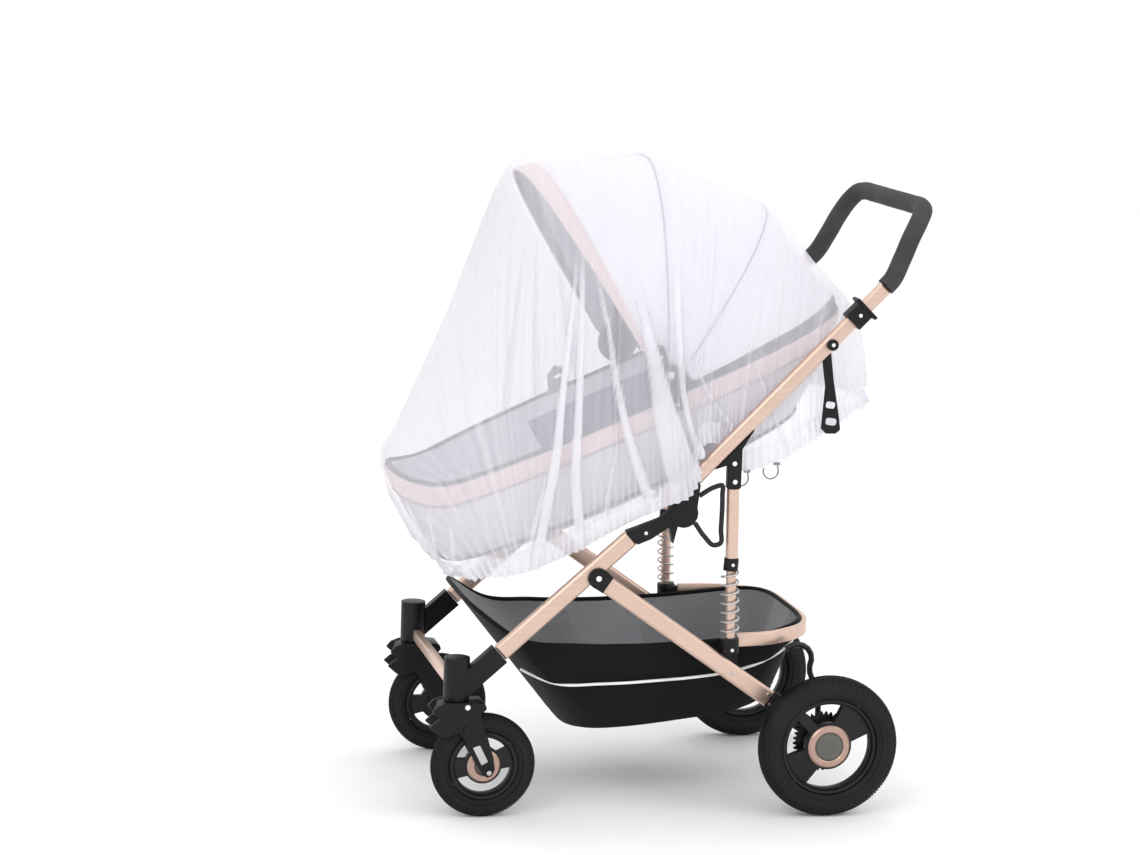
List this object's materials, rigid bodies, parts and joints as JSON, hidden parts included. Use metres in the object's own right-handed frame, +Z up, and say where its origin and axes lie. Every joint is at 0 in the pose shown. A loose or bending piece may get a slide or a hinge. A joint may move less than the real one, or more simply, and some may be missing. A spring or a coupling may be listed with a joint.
{
  "type": "mosquito net on a stroller",
  "caption": "Sheer mosquito net draped over the hood and carrycot of a stroller, with gathered elastic hem, hanging folds and wire hooks.",
  "frame": {"origin": "on the floor under the middle of the stroller", "axes": "+X from the foot end to the push handle, +Y to the far side, +Z up"},
  "size_m": [0.9259, 0.588, 1.132],
  "materials": {
    "net_tulle": "sheer knitted polyester net, white",
    "hood_cloth": "woven white hood cloth with grey seams",
    "pink_binding": "pale pink binding along the hood's front edge",
    "grey_webbing": "dark grey webbing",
    "carrycot_cloth": "woven white cloth over a stiff shell",
    "pink_band": "pale pink padded band",
    "lining_cloth": "soft lilac-grey lining",
    "grey_plastic": "dark grey moulded plastic",
    "black_plastic": "black moulded plastic, fine grain",
    "rim_plastic": "black moulded wheel rim",
    "black_steel": "black powder-coated steel",
    "champagne_tube": "champagne anodised aluminium",
    "spring_steel": "drawn spring wire",
    "hook_wire": "grey coated wire",
    "grip_foam": "dark grey foam grip",
    "tyre_foam": "solid black tyre with a fine tread",
    "basket_cloth": "black woven cloth with white piping"
  },
  "bodies": {
    "root": {"net": "net_tulle", "hood_fabric": "hood_cloth", "hood_brim": "pink_binding", "hood_frame": "grey_plastic", "hood_trim": "grey_webbing", "carrycot_shell": "carrycot_cloth", "carrycot_band": "pink_band", "mattress": "lining_cloth", "handle_grip": "grip_foam", "front_crossbar": "champagne_tube", "rear_hoop": "champagne_tube", "rear_axle": "black_steel", "basket": "basket_cloth", "strap": "black_plastic", "net_hook_rear": "hook_wire", "net_hook_front": "hook_wire", "hood_lever_far": "grey_plastic", "hood_lever_near": "grey_plastic", "carrycot_adapter_far": "black_plastic", "carrycot_adapter_near": "black_plastic", "lower_tube_far": "champagne_tube", "lower_tube_near": "champagne_tube", "upper_tube_far": "champagne_tube", "upper_tube_near": "champagne_tube", "rear_leg_far": "champagne_tube", "rear_leg_near": "champagne_tube", "hub_far": "black_plastic", "hub_near": "black_plastic", "knuckle_far": "black_plastic", "knuckle_near": "black_plastic", "clamp_far": "black_plastic", "clamp_near": "black_plastic", "tube_knob_far": "black_plastic", "tube_knob_near": "black_plastic", "strut_bracket_far": "black_plastic", "strut_bracket_near": "black_plastic", "strut_tube_far": "champagne_tube", "strut_tube_near": "champagne_tube", "spring_far": "spring_steel", "spring_near": "spring_steel", "strut_socket_far": "black_plastic", "strut_socket_near": "black_plastic", "u_bar_far": "black_steel", "u_bar_near": "black_steel", "front_housing_far": "black_plastic", "front_housing_near": "black_plastic", "front_fork_far": "black_plastic", "front_fork_near": "black_plastic", "front_tyre_far": "tyre_foam", "front_tyre_near": "tyre_foam", "front_rim_far": "rim_plastic", "front_rim_near": "rim_plastic", "front_ring_far": "champagne_tube", "front_ring_near": "champagne_tube", "rear_tyre_far": "tyre_foam", "rear_tyre_near": "tyre_foam", "rear_rim_far": "rim_plastic", "rear_rim_near": "rim_plastic", "rear_ring_far": "champagne_tube", "rear_ring_near": "champagne_tube"}
  },
  "joints": []
}
